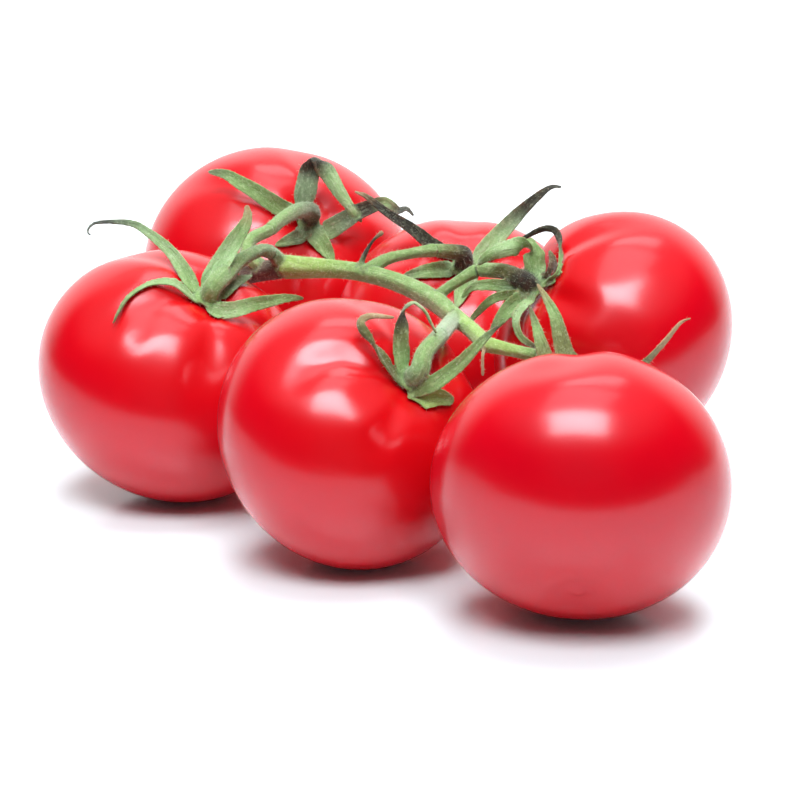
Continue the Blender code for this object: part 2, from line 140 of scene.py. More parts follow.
# Sepals of each calyx: full width in mm, how fast it narrows, roll and further twist in degrees,
# its colours from root to tip, with painted light and shade among them as told at TINTS, and the
# way of the midrib from the middle of the disc.
Sepal = namedtuple("Sepal", "width taper roll twist tints way")
SEPALS = {
    "front_left": (
        Sepal(4.4, 1.2, 0, 0, "leaf leaf pale pale grey slate slate", (
            (-2, 0, 0), (-6.5, 7.5, -3), (-10.5, 12.5, -6), (-15.5, 16.5, -8), (-19, 18.5, -9),
            (-24, 19, -9), (-28.5, 18.5, -8), (-30, 16.5, -7), (-29, 15.5, -6))),
        Sepal(3.0, 0.8, 50, 0, "leaf pale leaf olive", (
            (-2.5, -1, 1), (-6, 2, 3), (-8.5, 3.5, 4), (-12.5, 3.5, 4), (-16, 2, 3),
            (-19, -0.5, 2), (-21, -4, 1), (-22, -6.5, 0))),
        Sepal(5.6, 0.6, 0, 0, "leaf pale pale leaf straw", (
            (-0.5, 2, -1), (2.5, 8, -3), (6, 14, -5), (9, 19, -6), (9, 23, -7))),
        Sepal(4.6, 0.7, 0, 0, "leaf pale leaf leaf olive", (
            (1, -2.5, 2), (5.5, -3, 3), (11.5, -1.5, 2), (19, 0, 0), (23, 0, -2))),
        Sepal(4.4, 0.8, 0, 0, "leaf grey grey", (
            (3, 1.5, -3), (6, 4, -7), (10, 6, -12))),
    ),
    "back_left": (
        Sepal(5.2, 0.6, 0, 0, "pale leaf leaf leaf grey", (
            (-2, 2, 1), (-6, 2.7, 2), (-10, 5, 3), (-14, 7.7, 3), (-18, 10, 3),
            (-22, 12.3, 1), (-26.5, 13, 0))),
        Sepal(6.4, 0.7, 0, 180, "pale grey grey slate dark pale pale pale leaf", (
            (-1.5, 3, 1), (-0.7, 7.5, 1), (0.2, 12, 0), (1.2, 15.8, 1), (2.6, 16.2, 2.5),
            (5, 13, 3), (8.2, 7.7, 4), (11.7, 2.7, 4), (14.3, -0.5, 3))),
        Sepal(6.0, 0.9, 0, 0, "grey pale grey dark dark pale slate slate", (
            (4, -3, 1), (9.8, 0, 3), (13.8, 2.4, 3), (17, 3.7, 2), (20, 4.8, 2),
            (22, 4, 2), (24, 2.6, 1), (26, 3.2, 1), (28, 1.3, 1))),
        Sepal(5.0, 0.7, 0, 0, "grey grey leaf", (
            (-2, -4, 3), (-5, -5.5, 4), (-8.5, -7, 4))),
        Sepal(6.0, 0.7, 0, 0, "grey leaf leaf", (
            (2.5, -4.5, 3), (5, -8, 4), (7, -11.5, 4))),
    ),
    "back_middle": (
        Sepal(4.0, 0.7, 20, 0, "pale dark dark char char straw", (
            (-2, 2.5, -3), (-8.5, 6, -2), (-13, 9.5, -1), (-18.5, 13, 0), (-23, 16.5, 0),
            (-25, 18, 0), (-27.5, 19, 0))),
        Sepal(5.6, 0.9, 0, 0, "pale pale pale grey dark dark slate", (
            (3, 1, 0), (7.5, 6.5, -2), (12.5, 12, -3), (16, 15.5, -4), (20, 19, -5),
            (22.5, 20.5, -5), (25, 20.5, -5))),
        Sepal(5.0, 0.7, 0, 0, "grey leaf grey", (
            (-3, -0.5, 0), (-8.5, -1, 1), (-13, -2, 1), (-16, -3, 1))),
        Sepal(6.0, 0.7, 0, 0, "grey leaf pale", (
            (1, -2.5, 2), (-0.5, -6, 4), (-2, -10.5, 6))),
        Sepal(4.6, 0.8, 0, 0, "leaf grey grey", (
            (2, 1.2, -4.4), (3, 1.8, -10), (4, 1, -16))),
    ),
    "back_right": (
        # The pale of the first sepal's fold is partly painted light on its lit top, and the brown
        # of the second is partly painted shade on the underside of a fold.
        Sepal(5.6, 0.6, 0, 180, "grey pale leaf leaf leaf pale pale leaf grey", (
            (0, 1.6, 1), (0, 4, 1), (-0.3, 6.8, 1), (-0.5, 9.2, 1), (-2.4, 9.9, 2),
            (-6, 9.5, 3), (-9.1, 8.5, 4), (-12, 7.1, 4), (-13.7, 5.4, 4))),
        Sepal(2.8, 0.6, 0, 0, "leaf brown brown olive", (
            (1.4, 1.4, 0.5), (3, 2.6, 1), (3.9, 4.6, 0), (4, 7, -1), (3.4, 9, -2))),
        Sepal(2.2, 0.4, 50, 90, "leaf leaf leaf dark dark dark dark", (
            (2.2, 0.8, 3), (4.6, 2.6, 4.5), (5.6, 5.3, 4), (5.8, 8.5, 3), (5.4, 12.1, 1),
            (4.3, 13.8, 0), (2.3, 14.1, -1), (0, 13.3, -2), (-3.2, 11.6, -2),
            (-5.8, 10.5, -2))),
        Sepal(3.6, 0.6, 0, 0, "grey grey leaf pale leaf", (
            (-3, 0, 1), (-7, 0.4, 1), (-10.8, 0.8, 0), (-15, 0.3, -2), (-17.4, -2.2, -3))),
        Sepal(2.6, 0.5, 0, 0, "grey olive leaf olive leaf", (
            (-2.5, -1.2, 2), (-6, -1.7, 3), (-8.6, -2, 3), (-11.3, -3.4, 2),
            (-13.7, -5.8, 1), (-16.1, -8.4, 0))),
        Sepal(5.0, 0.7, 0, 0, "grey leaf leaf grey", (
            (-2.6, -2.3, 2.5), (-5.5, -4.2, 3.5), (-7.7, -6.4, 4), (-9.4, -8.7, 4),
            (-10.8, -10.6, 4))),
        Sepal(2.4, 0.4, 30, 0, "leaf pale pale leaf brown", (
            (-0.6, -2.6, 2.6), (-2.7, -4.2, 4.4), (-4.3, -6.2, 5), (-4.6, -8.7, 6),
            (-3.6, -11.6, 7), (-1.2, -13.5, 9), (0.4, -14.2, 10))),
    ),
    "front_right": (
        # The olive at the roots of the two upright sepals is painted shade, where they rise from
        # behind the fruit's top.
        Sepal(4.6, 0.8, 0, 0, "olive olive olive leaf brown", (
            (-2.5, 2.5, 0), (-6, 4.5, -2), (-8, 6.5, -5), (-10, 14, -11), (-11.5, 19, -14))),
        Sepal(5.0, 0.8, 0, 0, "olive olive olive leaf straw", (
            (-1, 3, -1), (-2.5, 5.5, -3), (-4, 8.5, -7), (-5.5, 16, -13), (-7.5, 20.5, -16),
            (-9.5, 24, -18))),
        Sepal(2.6, 0.7, 30, 0, "leaf leaf olive straw straw", (
            (4, 0.5, -2), (9.5, 3, -5), (14.5, 6, -10), (19.5, 11, -14), (23, 15, -15),
            (25.5, 16, -15))),
        Sepal(4.6, 0.8, 180, 0, "leaf leaf grey", (
            (2, -2, -4), (5, -5.5, -10), (8, -8, -17), (10, -9, -22))),
        Sepal(4.2, 0.8, 180, 0, "leaf leaf grey", (
            (-2, -2.5, -4), (-6, -7, -9), (-9, -12, -13), (-11, -15, -16))),
    ),
    "front_middle": (
        Sepal(3.0, 0.5, 50, 90, "leaf olive olive olive straw straw", (
            (-2, -1, 1), (-5, 3, 3), (-8.5, 8, 4), (-11, 11.5, 4), (-11, 13.5, 3),
            (-8.5, 14.5, 2), (-3.5, 14, 0))),
        Sepal(4.4, 0.9, 0, 90, "leaf leaf olive dark pale pale olive", (
            (-1.5, 1.5, 1), (-2, 8, 1), (-2, 14, 0), (-1, 16.5, -1), (1, 17.5, -3),
            (3.5, 15.5, -4), (5, 12.5, -4), (6, 10.5, -3))),
        Sepal(4.2, 0.7, 0, 0, "olive leaf leaf leaf dark", (
            (0.5, -2.5, 1), (5, -1, 3), (10.5, 3, 4), (15, 7.5, 4), (17.5, 10, 3),
            (20, 12, 2))),
        Sepal(5.2, 0.5, 0, 0, "leaf lime leaf", (
            (2.5, -4, -2), (6.5, -4, -3), (10, -5, -3))),
    ),
}

# Stem: points are (across, up, toward, radius), in mm, and the words are colours from the first
# point to the last, with painted light and shade among them as told at TINTS.
MAIN = (
    ("lime lime leaf leaf leaf leaf lime lime", (
        (-25.5, 56.5, -4, 3.1), (-12, 55.5, 4, 2.3), (-3.5, 54, 10, 2.2), (5, 51, 18, 2.3),
        (12, 47, 28, 2.5), (17, 42.5, 39, 2.2), (20.5, 39.5, 48, 1.9), (24, 35.5, 58, 2.1))),
    # The dark bark of this stub is partly painted shade.
    ("bark bark bark", ((-25, 56, -3, 2.6), (-30.5, 55.5, -9, 2.5), (-36, 54.5, -16, 2.2))),
    ("straw straw straw", ((23.5, 35, 58, 0.6), (23, 33, 60, 0.4), (23, 28.5, 60, 0.4))),
    ("leaf char char straw", (
        (-6, 55.5, 9, 0.8), (-4.6, 59, 9, 0.6), (-2.6, 62.3, 9, 0.4), (-0.2, 64.4, 9, 0.7))),
)
NEAR_STALKS = {
    "front_left": ("leaf grey", ((-24.5, 56, -5, 2.2), (-28, 59.5, 0, 1.9))),
    "back_left": ("leaf leaf leaf", (
        (-30, 56, -8, 1.9), (-34.5, 59.5, -11, 1.8), (-34, 63.5, -15, 1.7),
        (-29.5, 66.5, -21, 1.8))),
    "back_middle": ("leaf leaf leaf", (
        (-5, 54, 10, 2.0), (0.5, 57.6, 9, 1.5), (6.5, 59.2, 6, 1.3), (12.5, 60.2, 1, 1.8))),
    "back_right": ("leaf leaf leaf", (
        (11.5, 46.5, 28, 1.8), (15, 49.6, 28.5, 1.3), (19, 52.2, 29, 1.4),
        (22.5, 53.9, 29, 1.8))),
    # The white of this stalk is partly painted light, on the side that faces the lamps.
    "front_middle": ("leaf white white", (
        (17, 42.5, 39, 1.9), (15, 40, 52, 1.9), (13, 37.5, 64, 2.1))),
    "front_right": ("lime lime leaf", (
        (23.5, 36, 57, 1.9), (29.5, 34.5, 61, 1.5), (35.5, 33, 66, 1.6))),
}
# The last colours of these stalks lie in the calyx: dark and char there are painted shade in the
# hollow where the stalk enters it.
FAR_STALKS = {
    "front_left": ("grey leaf leaf", ((-31, 60, 4, 1.6), (-35.5, 57, 12, 1.9), (-39, 53, 19, 2.4))),
    "back_left": ("leaf leaf grey dark", ((-25.5, 70.5, -31, 1.8), (-21.5, 73, -41, 2.1))),
    "back_middle": ("leaf olive char char", ((18, 60, -4, 2.0),)),
    "back_right": ("leaf leaf olive char char", ((25.8, 54, 31.5, 1.8), (29, 53.5, 35, 1.9))),
    # The white where this stalk leaves its joint is partly painted light.
    "front_middle": ("white leaf leaf grey", ((9.5, 33.5, 73, 2.0),)),
    "front_right": ("leaf leaf", ((40.5, 31, 72, 1.8),)),
}
STALK_END = 2.3  # mm, radius at the disc
STALK_RISE = 4.0  # mm above the disc where a stalk has turned onto the fruit's axis
STALK_SIDES = 20
STALK_STEP = 0.6  # mm, length of its faces
KNOT = 1.2  # mm that a stalk runs straight on each side of its joint
KNOT_OUT = 0.22  # mm that the ring at the joint stands out
KNOT_REACH = 0.55  # mm
RIDGES = 5
RIDGE = 0.05  # of the radius
RIDGE_TURN = 0.04  # radians that the ridges wind in a step

FINE = 0.27  # mm, size of the faces of the green pieces when they are fused
KEEP = 0.45  # part of those faces that is kept
HUB = 6.5  # mm round the middle of a calyx that is smoothed, so that its sepals flow together
HUB_ROUNDS = 3  # of smoothing there, and again in the inner part
HUB_INNER = 0.7  # of its reach
NEAREST = 4  # points of the bodies that give a fused point its colour

# Colours of the green pieces, as linear red, green and blue. Besides the greens' own colours some
# stand in for light and shade: pale and white are partly painted light on sides that face the
# lamps, and dark and char, and in places olive, brown and bark, are painted shade where they fall
# on undersides, the shaded roots of sepals and the hollows where the stalks enter the calyces;
# elsewhere they are the pieces' own dry or dark colour.
TINTS = {
    "leaf": (0.27, 0.42, 0.16),
    "pale": (0.38, 0.55, 0.28),
    "lime": (0.37, 0.53, 0.17),
    "grey": (0.24, 0.34, 0.19),
    "olive": (0.15, 0.17, 0.045),
    "dark": (0.045, 0.045, 0.025),
    "char": (0.022, 0.018, 0.010),
    "brown": (0.12, 0.06, 0.03),
    "bark": (0.11, 0.08, 0.05),
    "straw": (0.45, 0.32, 0.18),
    "slate": (0.12, 0.15, 0.13),
    "white": (0.40, 0.52, 0.36),
}

# Floor: m from the middle to the sides and the back, and to the front edge, which is just out of
# the picture. Its colour changes between the last two, from a bluish tint near the fruits, painted
# cool light that tints the shadows there, to plain white further out.
SHEET = 4.0
SHEET_FRONT = 0.215
FAR_FROM = 0.2
FAR_TO = 0.45

# Soft boxes: the way to each, its distance, width and height in m, whether it lights the scene
# and whether the skin mirrors it. Their radiances have the same names in TrussStageLook.
SoftBox = namedtuple("SoftBox", "way distance width height lights mirrored")
SOFT_BOXES = {
    "key": SoftBox((-0.04, -0.49, 0.86), 2.6, 1.85, 1.15, False, True),
    "glow": SoftBox((-0.05, -0.12, 0.99), 2.7, 1.9, 2.5, True, True),
    "back": SoftBox((0.12, 0.5, 0.86), 2.6, 1.3, 0.7, True, True),
    "front": SoftBox((-0.04, -0.49, 0.86), 2.6, 1.65, 1.1, True, False),
    "top": SoftBox((0.06, 0.2, 0.98), 2.6, 1.5, 1.2, True, False),
    "fill": SoftBox((0, -0.97, 0.22), 2.6, 2.2, 1.0, True, False),
}
LAMP = (0.97, 0.98, 1.0)  # their colour

# Surroundings: radiance of the dark room and of what the camera sees behind the floor, the part
# of the wall's radiance that the ceiling has, and between which parts of the way back and the way
# up the wall and the ceiling start.
ROOM = 0.01
BACKDROP = 1.1
CEILING = 0.4
WALL_FROM = 0.35
WALL_TO = 0.8
CEILING_FROM = 0.45
CEILING_TO = 0.85


# Shaders

class Value:
    """A node's output. Sums written with it in Python add Math nodes."""

    def __init__(self, nodes, socket):
        self.nodes = nodes
        self.socket = socket

    def math(self, operation, *values):
        inputs = dict(enumerate(values))
        return self.nodes.node("ShaderNodeMath", {"operation": operation}, inputs)

    def __add__(self, other):
        return self.math("ADD", self, other)

    def __rsub__(self, other):
        return self.math("SUBTRACT", other, self)

    def __mul__(self, other):
        return self.math("MULTIPLY", self, other)

    __radd__ = __add__
    __rmul__ = __mul__

    def band(self, low, high):
        """0 below low and 1 above high, with a smooth step between."""
        return self.nodes.node("ShaderNodeMapRange", {"interpolation_type": "SMOOTHSTEP"},
                               {"Value": self, "From Min": low, "From Max": high})


class Nodes:
    """The nodes of a material or of the surroundings."""

    def __init__(self, tree):
        self.tree = tree

    def node(self, kind, settings, inputs, output=0):
        """Add a node of a type, with its settings and the values or links of its sockets."""
        made = self.tree.nodes.new(kind)
        for name, value in settings.items():
            setattr(made, name, value)
        for name, value in inputs.items():
            if isinstance(value, Value):
                self.tree.links.new(value.socket, made.inputs[name])
            else:
                made.inputs[name].default_value = value
        return None if output is None else Value(self, made.outputs[output])


class Finish(Nodes):
    """A material with one Principled shader, built up from nodes."""

    def __init__(self, name, **constants):
        self.material = bpy.data.materials.new(name)
        self.material.use_nodes = True
        super().__init__(self.material.node_tree)
        self.shader = self.tree.nodes["Principled BSDF"]
        for socket, value in constants.items():
            self.shader.inputs[socket.replace("_", " ")].default_value = value

    def feed(self, name, value):
        self.tree.links.new(value.socket, self.shader.inputs[name])

    def attribute(self, name, output="Color"):
        return self.node("ShaderNodeAttribute", {"attribute_name": name}, {}, output)

    def place(self):
        return self.node("ShaderNodeTexCoord", {}, {}, "Object")

    def noise(self, where, scale, detail=2.0, roughness=0.5):
        """Noise with scale features to a unit of where, mostly between 0.3 and 0.7."""
        return self.node("ShaderNodeTexNoise", {}, {
            "Vector": where, "Scale": scale, "Detail": detail, "Roughness": roughness})

    def stretched(self, where, sizes):
        return self.node("ShaderNodeVectorMath", {"operation": "MULTIPLY"}, {0: where, 1: sizes})

    def mix(self, part, first, second, blend="MIX"):
        """Colours mixed by a part between 0 and 1."""
        first, second = [(*c, 1) if isinstance(c, tuple) else c for c in (first, second)]
        return self.node("ShaderNodeMix", {"data_type": "RGBA", "blend_type": blend},
                         {"Factor": part, 6: first, 7: second}, 2)

    def bump(self, height, distance):
        self.feed("Normal", self.node("ShaderNodeBump", {}, {
            "Height": height, "Distance": distance, "Strength": 1}))


def flesh_finish(look):
    """Ripe skin: deep red in faint patches, another red round the stem, under a waxy gloss."""
    finish = Finish("flesh", IOR=1.5, Specular_IOR_Level=0.5, Specular_Tint=(0.8, 0.92, 1, 1),
                    Coat_Weight=0.15, Coat_Roughness=0.14, Subsurface_Weight=0.1,
                    Subsurface_Scale=0.003, Subsurface_Radius=(1.0, 0.1, 0.06))
    where = finish.place()
    patches = finish.noise(where, 38, 3).band(0.35, 0.68)
    stem_end = finish.attribute("stem_end", "Fac")
    red = finish.mix(patches * 0.5, tuple(look.flesh), tuple(look.deep))
    red = finish.mix(stem_end.band(0.45, 1.0) * 0.8, red, tuple(look.shoulder))
    finish.feed("Base Color", red)
    finish.feed("Roughness", look.roughness + finish.noise(where, 90, 2) * 0.04)
    return finish.material


def green_finish(name, look, streak):
    """Leaf and stalk green: mottled, streaked along the growth, with a fine bloom of hairs. Its
    tint attribute holds painted light and shade besides the greens' own colours.
    """
    finish = Finish(name, Specular_IOR_Level=0.3, Sheen_Weight=0.25, Sheen_Roughness=0.5,
                    Subsurface_Weight=0.08, Subsurface_Scale=0.0008,
                    Subsurface_Radius=(0.6, 1.0, 0.3))
    where = finish.place()
    # The tint has painted light (pale, white) and painted shade (dark, char and in places olive,
    # brown and bark) in it, besides the greens' own colours.
    tint = finish.attribute("tint")
    flow = finish.attribute("flow", "Vector")
    streaks = finish.noise(finish.stretched(flow, (0.22, streak, 1)), 1, 3)
    mottle = finish.noise(where, 900, 3, 0.6)
    specks = finish.noise(where, 2600, 1).band(0.56, 0.7) * mottle.band(0.45, 0.6)
    shade = streaks.band(0.3, 0.7) * 0.45 + mottle.band(0.3, 0.7) * 0.55
    green = finish.mix(1 - shade, tint, tint, "MULTIPLY")
    green = finish.mix(0.7, tint, green)
    light = finish.mix(0.35, tint, tuple(look.bloom))
    green = finish.mix(shade.band(0.55, 1.0) * 0.55, green, light)
    green = finish.mix(specks * 0.6, green, (0.04, 0.045, 0.018))
    rust = finish.attribute("edge", "Fac") * finish.noise(where, 700, 2).band(0.48, 0.62)
    green = finish.mix(rust * 0.5, green, (0.30, 0.13, 0.07))
    finish.feed("Base Color", green)
    finish.feed("Roughness", 0.62 + mottle * 0.2)
    finish.bump(streaks * 0.8 + mottle * 0.5, 0.00035)
    return finish.material


def hair_finish(look):
    """Pale, slightly shiny hairs."""
    finish = Finish("hair", Roughness=0.5, Specular_IOR_Level=0.4)
    where = finish.place()
    pale = finish.mix(finish.noise(where, 400, 1), tuple(look.hair), tuple(look.bloom))
    finish.feed("Base Color", pale)
    return finish.material


def floor_finish(look):
    """A pale glossy sheet, bluish near the fruits, which is painted cool light for their shadows,
    and whiter further out.
    """
    finish = Finish("floor", IOR=1.5, Roughness=0.2)
    away = finish.node("ShaderNodeVectorMath", {"operation": "LENGTH"}, {0: finish.place()}, 1)
    far = away.band(FAR_FROM, FAR_TO)
    # Near the fruits the floor takes a bluish colour, painted cool light that tints the shadows.
    finish.feed("Base Color", finish.mix(far, tuple(look.floor), tuple(look.floor_far)))
    return finish.material


# Layout, as in the part

def from_view(across, up, toward):
    """The place in the truss of a point laid out in the view from the front."""
    down = radians(VIEW_DOWN)
    back = up * sin(down) - toward * cos(down)
    return Vector((across, back, up * cos(down) + toward * sin(down)))


def stem_axis(fruit):
    turn, tilt = radians(fruit.turn), radians(fruit.tilt)
    return Vector((cos(tilt) * cos(turn), cos(tilt) * sin(turn), sin(tilt)))


def place(fruit):
    """Matrix from a fruit's own axes, stem end up, to the truss, in mm."""
    axis = stem_axis(fruit)
    right = (Vector((1, 0, 0)) - axis * axis.x).normalized()
    back = axis.cross(right)
    a, c = fruit.width / 2, fruit.height / 2
    rise = sqrt(a * a * (1 - axis.z ** 2) + c * c * axis.z ** 2) - FLAT + fruit.lift
    turned = Matrix((right, back, axis)).transposed().to_4x4()
    return Matrix.Translation((fruit.x, fruit.y, rise)) @ turned


def dimple(fruit, out):
    return DIMPLE * exp(-(out / (fruit.width / 2 * DIMPLE_REACH)) ** 2)


def skin(fruit, polar, around, groove):
    """A point of the skin, by its angle from the stem end and its angle round the axis."""
    a, c = fruit.width / 2, fruit.height / 2
    band = exp(-((polar - GROOVE_AT) / GROOVE_REACH) ** 2) * min(1, polar / GROOVE_REACH)
    wave = 0.5 + 0.5 * cos(fruit.grooves * (around - radians(fruit.groove)))
    keep = 1 - groove / a * band * wave ** 3
    out = a * sin(polar) * keep
    high = c * cos(polar) * keep
    if high > 0:
        high -= dimple(fruit, out)
    else:
        high += NOSE * exp(-(out / (a * NOSE_REACH)) ** 2) - NUB * exp(-(out / NUB_REACH) ** 2)
    return Vector((out * cos(around), out * sin(around), high))


def calyx_middle(fruit):
    return place(fruit) @ Vector((0, 0, fruit.height / 2 - DIMPLE + DISC_RISE))


def buried(point, need):
    """Whether a point is closer than need to the skin of a fruit, or inside one."""
    for fruit in FRUITS.values():
        near = place(fruit).inverted() @ point
        a, c = fruit.width / 2, fruit.height / 2
        out = sqrt(near.x ** 2 + near.y ** 2)
        high = near.z + dimple(fruit, out) if near.z > 0 else near.z
        if sqrt((out / a) ** 2 + (high / c) ** 2) < 1 + need / c:
            return True
    return False


def clear(point, need, way):
    """The point, moved along a way until it is clear of every fruit."""
    moved = point.copy()
    for _ in range(200):
        if not buried(moved, need):
            break
        moved += way * CLEAR_STEP
    return moved


def smooth_way(points, steps):
    """Points at even distances along a smooth curve through the given ones."""
    ends = [2 * points[0] - points[1], *points, 2 * points[-1] - points[-2]]
    fine = []
    for before, start, end, after in zip(ends, ends[1:], ends[2:], ends[3:]):
        for step in range(12):
            t = step / 12
            fine.append(0.5 * (2 * start + (end - before) * t
                               + (2 * before - 5 * start + 4 * end - after) * t ** 2
                               + (3 * start - before - 3 * end + after) * t ** 3))
    fine.append(points[-1])
    reach = [0.0]
    for start, end in zip(fine, fine[1:]):
        reach.append(reach[-1] + (end.xyz - start.xyz).length)
    even = []
    for step in range(steps + 1):
        want = reach[-1] * step / steps
        spot = next(i for i in range(1, len(reach)) if reach[i] >= want - 1e-9)
        part = (want - reach[spot - 1]) / (reach[spot] - reach[spot - 1])
        even.append(fine[spot - 1].lerp(fine[spot], part))
    return even


def half_width(sepal, along):
    root = min(1, 0.45 + along / 0.3)
    point = TIP + (1 - TIP) * (1 - along) ** sepal.taper * (1 + 0.5 * along)
    return sepal.width / 2 * root * min(1, point)


def ease(part):
    part = min(1, max(0, part))
    return part * part * (3 - 2 * part)


def sideways_room(before, spot, after, side):
    """The half width that a blade can have where it bends sideways without crossing itself."""
    if before == spot or after == spot:
        return inf
    turn = (after - spot).normalized() - (spot - before).normalized()
    bend = abs(turn.dot(side)) / ((after - before).length / 2)
    return BEND_ROOM / bend if bend > 0 else inf


def tint_at(words, along):
    """The colour at a part of the length of a piece whose colours are named from root to tip."""
    names = words.split()
    spot = min(1, max(0, along)) * (len(names) - 1)
    first = min(int(spot), len(names) - 2)
    return Vector(TINTS[names[first]]).lerp(Vector(TINTS[names[first + 1]]), spot - first)


# Meshes

class Growth:
    """Points, faces and colours of the green pieces before they are fused."""

    def __init__(self):
        self.spots = []
        self.faces = []
        self.tints = []
        self.flows = []
        self.edges = []

    def add(self, spot, tint, flow, edge):
        self.spots.append(spot)
        self.tints.append(tint)
        self.flows.append(flow)
        self.edges.append(edge)
        return len(self.spots) - 1


def add_blade(growth, sepal, number, fruit):
    """One sepal: a folded, waved blade, thin at its edges."""
    middle = calyx_middle(fruit)
    to_viewer = from_view(0, 0, 1)
    axis = stem_axis(fruit)
    away = to_viewer if axis.dot(to_viewer) > 0 else axis
    root = middle + from_view(*sepal.way[0]) * ROOT_OUT
    points = [root] + [middle + from_view(*spot) for spot in sepal.way]
    need = BLADE / 2 + CLEAR
    line = [clear(spot, need, away) for spot in smooth_way(points, BLADE_STEPS)]
    run = 0.0
    rows = []
    for step, spot in enumerate(line):
        along = step / BLADE_STEPS
        before, after = line[max(step - 1, 0)], line[min(step + 1, BLADE_STEPS)]
        run += (spot - before).length
        ahead = (after - before).normalized()
        face = axis.lerp(to_viewer, ease(along * 4))
        face = (face - ahead * face.dot(ahead)).normalized()
        twist = sepal.twist * ease((along - TWIST_FROM) / (TWIST_TO - TWIST_FROM))
        roll = radians(sepal.roll * ease(along * 4) + twist)
        up = Matrix.Rotation(roll, 3, ahead) @ face
        side = up.cross(ahead)
        wide_before, wide_after = line[max(step - 4, 0)], line[min(step + 4, BLADE_STEPS)]
        room = sideways_room(wide_before, spot, wide_after, side)
        half = min(half_width(sepal, along), room)
        fold = FOLD * ease(along * 3)
        tint = tint_at(sepal.tints, along)
        over, under = [], []
        for column in range(BLADE_ACROSS + 1):
            across = column / BLADE_ACROSS * 2 - 1
            wave = across * RUFFLE * sin(along * 4 * pi) + fold * abs(across) ** 1.5
            out = clear(spot + side * half * across + up * half * wave, need, away)
            thick = BLADE_EDGE + (BLADE - BLADE_EDGE) * (1 - across * across)
            flow = Vector((run, across * half, number * 7.0))
            edge = abs(across) ** 4 * ease(along * 5)
            over.append(growth.add(out + up * thick / 2, tint, flow, edge))
            under.append(growth.add(out - up * thick / 2, tint, flow, edge))
        rows.append(over + under[::-1])
    add_rings(growth, rows)


def add_rings(growth, rows):
    """Faces of a closed body between rings of the same number of points."""
    count = len(rows[0])
    for low, high in zip(rows, rows[1:]):
        for i in range(count):
            k = (i + 1) % count
            growth.faces.append((low[i], low[k], high[k], high[i]))
    growth.faces.append(tuple(rows[0][::-1]))
    growth.faces.append(tuple(rows[-1]))


def add_stalk(growth, points, words, knots=(), number=0):
    """A round, faintly ridged stalk through (spot, radius), with rings at its joints."""
    route = [Vector((*spot, radius)) for spot, radius in points]
    length = sum((end.xyz - start.xyz).length for start, end in zip(route, route[1:]))
    steps = max(6, int(length / STALK_STEP))
    line = smooth_way(route, steps)
    side = None
    rows = []
    for step, spot in enumerate(line):
        before, after = line[max(step - 1, 0)].xyz, line[min(step + 1, steps)].xyz
        ahead = (after - before).normalized()
        if side is None:
            side = ahead.orthogonal().normalized()
        side = (side - ahead * side.dot(ahead)).normalized()
        up = ahead.cross(side)
        radius = spot.w
        for knot in knots:
            radius += KNOT_OUT * exp(-((spot.xyz - knot).length / KNOT_REACH) ** 2)
        end = min(step, steps - step) * length / steps
        if end < radius * 0.4:
            radius *= 0.72 + 0.28 * sqrt(end / (radius * 0.4))
        tint = tint_at(words, step / steps)
        row = []
        for turn in range(STALK_SIDES):
            angle = 2 * pi * turn / STALK_SIDES
            out = radius * (1 + RIDGE * cos(RIDGES * angle + step * RIDGE_TURN))
            where = spot.xyz + side * out * cos(angle) + up * out * sin(angle)
            flow = Vector((step * length / steps, angle * 2.2, 50 + number * 9.0))
            row.append(growth.add(where, tint, flow, 0.15))
        rows.append(row)
    add_rings(growth, rows)


def add_disc(growth, fruit, words):
    shape = bmesh.new()
    bmesh.ops.create_uvsphere(shape, u_segments=24, v_segments=12, radius=1)
    flat = Matrix.Diagonal((DISC, DISC, DISC_HALF, 1))
    middle = Matrix.Translation(Vector((0, 0, fruit.height / 2 - DIMPLE + DISC_RISE)))
    bmesh.ops.transform(shape, matrix=place(fruit) @ middle @ flat, verts=shape.verts)
    first = len(growth.spots)
    shape.verts.index_update()
    tint = Vector(TINTS[words])
    for vert in shape.verts:
        growth.add(vert.co.copy(), tint, vert.co.copy(), 0.0)
    for face in shape.faces:
        growth.faces.append(tuple(first + vert.index for vert in face.verts))
    shape.free()


def evaluated_mesh(made):
    depsgraph = bpy.context.evaluated_depsgraph_get()
    return bpy.data.meshes.new_from_object(made.evaluated_get(depsgraph))


def relax(shape, verts, factor):
    bmesh.ops.smooth_vert(shape, verts=verts, factor=factor, use_axis_x=True, use_axis_y=True,
                          use_axis_z=True)


